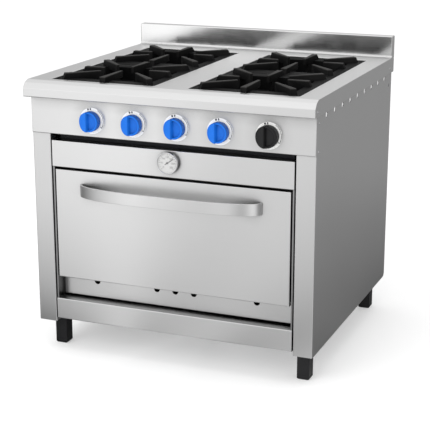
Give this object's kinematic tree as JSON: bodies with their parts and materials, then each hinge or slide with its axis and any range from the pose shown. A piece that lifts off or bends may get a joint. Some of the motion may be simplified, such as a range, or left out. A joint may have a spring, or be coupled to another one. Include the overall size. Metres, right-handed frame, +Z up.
{
  "type": "gas range",
  "caption": "Free-standing stainless gas range with open burners under cast grates, a drop-down oven door, turning knobs, a pull-out drip tray and a low backsplash.",
  "frame": {"origin": "on the floor, under the middle of the range's overall width and depth", "axes": "+Z up, -Y out of the oven door towards the cook, +X to the cook's right"},
  "size_m": [0.9024, 0.867, 0.92],
  "materials": {
    "brushed_steel": "fine brushed stainless",
    "plain_steel": "plain mill-finish steel",
    "screw_steel": "bright turned steel",
    "wire_chrome": "bright plated steel",
    "cast_iron": "matt black coated casting",
    "enamel_black": "dark vitreous enamel",
    "leg_black": "matt black",
    "knob_blue": "satin blue moulded plastic",
    "knob_black": "satin black moulded plastic",
    "dial_white": "white printed plate",
    "needle_black": "black painted pointer",
    "lens_clear": "clear flat glass",
    "seal_fibre": "woven glass-fibre tape",
    "blanket": "mineral wool blanket",
    "valve_brass": "machined brass",
    "tube_aluminium": "drawn aluminium tube"
  },
  "bodies": {
    "range_body": {"cooktop": "brushed_steel", "backsplash": "brushed_steel", "control_panel": "brushed_steel", "oven_header": "brushed_steel", "column_left": "brushed_steel", "column_right": "brushed_steel", "side_panel_left": "brushed_steel", "side_panel_right": "brushed_steel", "bottom_rail": "brushed_steel", "kick_panel": "brushed_steel", "oven_frame": "brushed_steel", "back_panel": "plain_steel", "base_pan": "plain_steel", "tray_shelf": "plain_steel", "oven_wrap": "plain_steel", "oven_back": "plain_steel", "burner_bars": "plain_steel", "dial_plates": "dial_white", "panel_screws": "screw_steel", "legs": "leg_black", "oven_seal": "seal_fibre", "oven_floor": "enamel_black", "oven_insulation": "blanket", "rack_guides": "plain_steel", "oven_burner": "plain_steel", "thermometer_case": "wire_chrome", "thermometer_dial": "dial_white", "thermometer_lens": "lens_clear", "gas_valves": "valve_brass", "gas_tubes": "tube_aluminium", "gas_manifold": "plain_steel", "gas_inlet": "plain_steel", "burners": "cast_iron", "burner_caps": "cast_iron"},
    "oven_door": {"door_skin": "brushed_steel", "door_liner": "brushed_steel", "door_insulation": "blanket", "door_handle": "brushed_steel", "hinge_pins": "screw_steel"},
    "rack": {"oven_rack": "wire_chrome"},
    "tray": {"drip_tray": "plain_steel"},
    "needle": {"thermometer_needle": "needle_black"},
    "stem_1": {"stem_1": "screw_steel"},
    "knob_1": {"knob_1": "knob_blue"},
    "stem_2": {"stem_2": "screw_steel"},
    "knob_2": {"knob_2": "knob_blue"},
    "stem_3": {"stem_3": "screw_steel"},
    "knob_3": {"knob_3": "knob_blue"},
    "stem_4": {"stem_4": "screw_steel"},
    "knob_4": {"knob_4": "knob_blue"},
    "stem_oven": {"stem_oven": "screw_steel"},
    "knob_oven": {"knob_oven": "knob_black"},
    "grate_front_left": {"grate_front_left": "cast_iron"},
    "grate_front_right": {"grate_front_right": "cast_iron"},
    "grate_rear_left": {"grate_rear_left": "cast_iron"},
    "grate_rear_right": {"grate_rear_right": "cast_iron"},
    "foot_front_left": {"foot_front_left": "leg_black"},
    "foot_front_right": {"foot_front_right": "leg_black"},
    "foot_rear_left": {"foot_rear_left": "leg_black"},
    "foot_rear_right": {"foot_rear_right": "leg_black"}
  },
  "joints": [
    {"name": "door_hinge", "type": "hinge", "parent": "range_body", "child": "oven_door", "pos_m": [0, -0.3615, 0.25], "axis": [1, 0, 0], "range_deg": [0, 90], "stiffness_Nm_per_rad": 6, "springref_deg": -17.19},
    {"name": "rack_slide", "type": "slide", "parent": "range_body", "child": "rack", "axis": [0, -1, 0], "range_m": [0, 0.02]},
    {"name": "tray_slide", "type": "slide", "parent": "range_body", "child": "tray", "axis": [0, -1, 0], "range_m": [0, 0.4]},
    {"name": "needle_turn", "type": "hinge", "parent": "range_body", "child": "needle", "pos_m": [0, -0.3775, 0.634], "axis": [0, 1, 0], "range_deg": [-191, 79]},
    {"name": "knob_1_push", "type": "slide", "parent": "range_body", "child": "stem_1", "axis": [0, 1, 0], "range_m": [0, 0.003], "stiffness_N_per_m": 1500, "springref_m": -0.002},
    {"name": "knob_1_turn", "type": "hinge", "parent": "stem_1", "child": "knob_1", "pos_m": [-0.243, -0.3815, 0.738], "axis": [0, -1, 0], "range_deg": [0, 210]},
    {"name": "knob_2_push", "type": "slide", "parent": "range_body", "child": "stem_2", "axis": [0, 1, 0], "range_m": [0, 0.003], "stiffness_N_per_m": 1500, "springref_m": -0.002},
    {"name": "knob_2_turn", "type": "hinge", "parent": "stem_2", "child": "knob_2", "pos_m": [-0.10867, -0.3815, 0.738], "axis": [0, -1, 0], "range_deg": [0, 210]},
    {"name": "knob_3_push", "type": "slide", "parent": "range_body", "child": "stem_3", "axis": [0, 1, 0], "range_m": [0, 0.003], "stiffness_N_per_m": 1500, "springref_m": -0.002},
    {"name": "knob_3_turn", "type": "hinge", "parent": "stem_3", "child": "knob_3", "pos_m": [0.02567, -0.3815, 0.738], "axis": [0, -1, 0], "range_deg": [0, 210]},
    {"name": "knob_4_push", "type": "slide", "parent": "range_body", "child": "stem_4", "axis": [0, 1, 0], "range_m": [0, 0.003], "stiffness_N_per_m": 1500, "springref_m": -0.002},
    {"name": "knob_4_turn", "type": "hinge", "parent": "stem_4", "child": "knob_4", "pos_m": [0.16, -0.3815, 0.738], "axis": [0, -1, 0], "range_deg": [0, 210]},
    {"name": "oven_knob_push", "type": "slide", "parent": "range_body", "child": "stem_oven", "axis": [0, 1, 0], "range_m": [0, 0.003], "stiffness_N_per_m": 1500, "springref_m": -0.002},
    {"name": "oven_knob_turn", "type": "hinge", "parent": "stem_oven", "child": "knob_oven", "pos_m": [0.306, -0.3815, 0.738], "axis": [0, -1, 0], "range_deg": [0, 270]},
    {"name": "grate_front_left_lift", "type": "slide", "parent": "range_body", "child": "grate_front_left", "axis": [0, 0, 1], "range_m": [0, 0.06]},
    {"name": "grate_front_right_lift", "type": "slide", "parent": "range_body", "child": "grate_front_right", "axis": [0, 0, 1], "range_m": [0, 0.06]},
    {"name": "grate_rear_left_lift", "type": "slide", "parent": "range_body", "child": "grate_rear_left", "axis": [0, 0, 1], "range_m": [0, 0.06]},
    {"name": "grate_rear_right_lift", "type": "slide", "parent": "range_body", "child": "grate_rear_right", "axis": [0, 0, 1], "range_m": [0, 0.06]},
    {"name": "foot_front_left_level", "type": "slide", "parent": "range_body", "child": "foot_front_left", "axis": [0, 0, -1], "range_m": [0, 0.02]},
    {"name": "foot_front_right_level", "type": "slide", "parent": "range_body", "child": "foot_front_right", "axis": [0, 0, -1], "range_m": [0, 0.02]},
    {"name": "foot_rear_left_level", "type": "slide", "parent": "range_body", "child": "foot_rear_left", "axis": [0, 0, -1], "range_m": [0, 0.02]},
    {"name": "foot_rear_right_level", "type": "slide", "parent": "range_body", "child": "foot_rear_right", "axis": [0, 0, -1], "range_m": [0, 0.02]}
  ]
}
